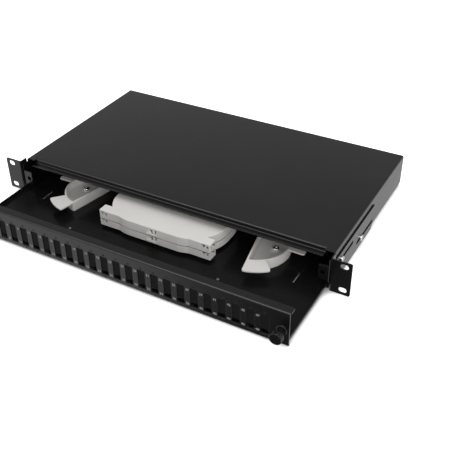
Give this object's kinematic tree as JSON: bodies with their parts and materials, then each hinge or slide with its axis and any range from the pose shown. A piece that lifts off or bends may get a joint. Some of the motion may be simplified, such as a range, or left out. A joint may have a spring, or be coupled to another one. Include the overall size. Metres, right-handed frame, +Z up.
{
  "type": "fiber termination box",
  "caption": "1U rack-mount fibre termination box: black steel housing with a sliding tray of duplex adapter openings, white splice cassettes and cable spools.",
  "frame": {"origin": "centre of the four rack slots, on the back faces of the ears", "axes": "+X right, +Y to the back of the rack, +Z up; the drawer slides out along -Y"},
  "size_m": [0.4826, 0.3794, 0.0439],
  "materials": {
    "black_coat": "fine textured black powder coat",
    "zinc": "bright zinc plate",
    "white_abs": "satin moulded white ABS",
    "black_nylon": "semi-gloss black nylon",
    "natural_nylon": "natural nylon",
    "black_rubber": "matt black rubber",
    "brass_nickel": "plain brass"
  },
  "bodies": {
    "housing": {"housing_shell": "black_coat", "base_plate": "black_coat", "base_screws": "black_coat", "rear_screws": "zinc", "slide_rail_left": "black_coat", "slide_rail_right": "black_coat", "ear_screws_left": "zinc", "ear_screws_right": "zinc", "entry_plugs": "black_rubber", "earth_stud": "brass_nickel", "earth_nuts": "brass_nickel"},
    "ear_left": {"rack_ear_left": "black_coat"},
    "ear_right": {"rack_ear_right": "black_coat"},
    "drawer": {"drawer_tray": "black_coat", "front_panel": "black_coat", "panel_rivets": "black_coat", "glide_pads": "natural_nylon", "glide_rivets": "zinc", "latch_grommet_left": "black_nylon", "latch_grommet_right": "black_nylon", "cable_spool_left": "white_abs", "cable_spool_right": "white_abs", "spool_screws": "zinc", "splice_cassette_lower": "white_abs", "splice_cassette_upper": "white_abs", "splice_holder_lower": "white_abs", "splice_holder_upper": "white_abs", "cassette_lid": "white_abs", "cassette_studs": "zinc", "cassette_nuts": "zinc"},
    "plunger_left": {"latch_plunger_left": "black_nylon"},
    "plunger_right": {"latch_plunger_right": "black_nylon"}
  },
  "joints": [
    {"name": "drawer_slide", "type": "slide", "parent": "housing", "child": "drawer", "axis": [0, -1, 0], "range_m": [-0.0999, 0.08]},
    {"name": "latch_left_push", "type": "slide", "parent": "drawer", "child": "plunger_left", "axis": [0, 1, 0], "range_m": [0, 0.008]},
    {"name": "latch_right_push", "type": "slide", "parent": "drawer", "child": "plunger_right", "axis": [0, 1, 0], "range_m": [0, 0.008]},
    {"name": "ear_left_setback", "type": "slide", "parent": "housing", "child": "ear_left", "axis": [0, 1, 0], "range_m": [-0.034, 0.011]},
    {"name": "ear_right_setback", "type": "slide", "parent": "housing", "child": "ear_right", "axis": [0, 1, 0], "range_m": [-0.034, 0.011]}
  ]
}
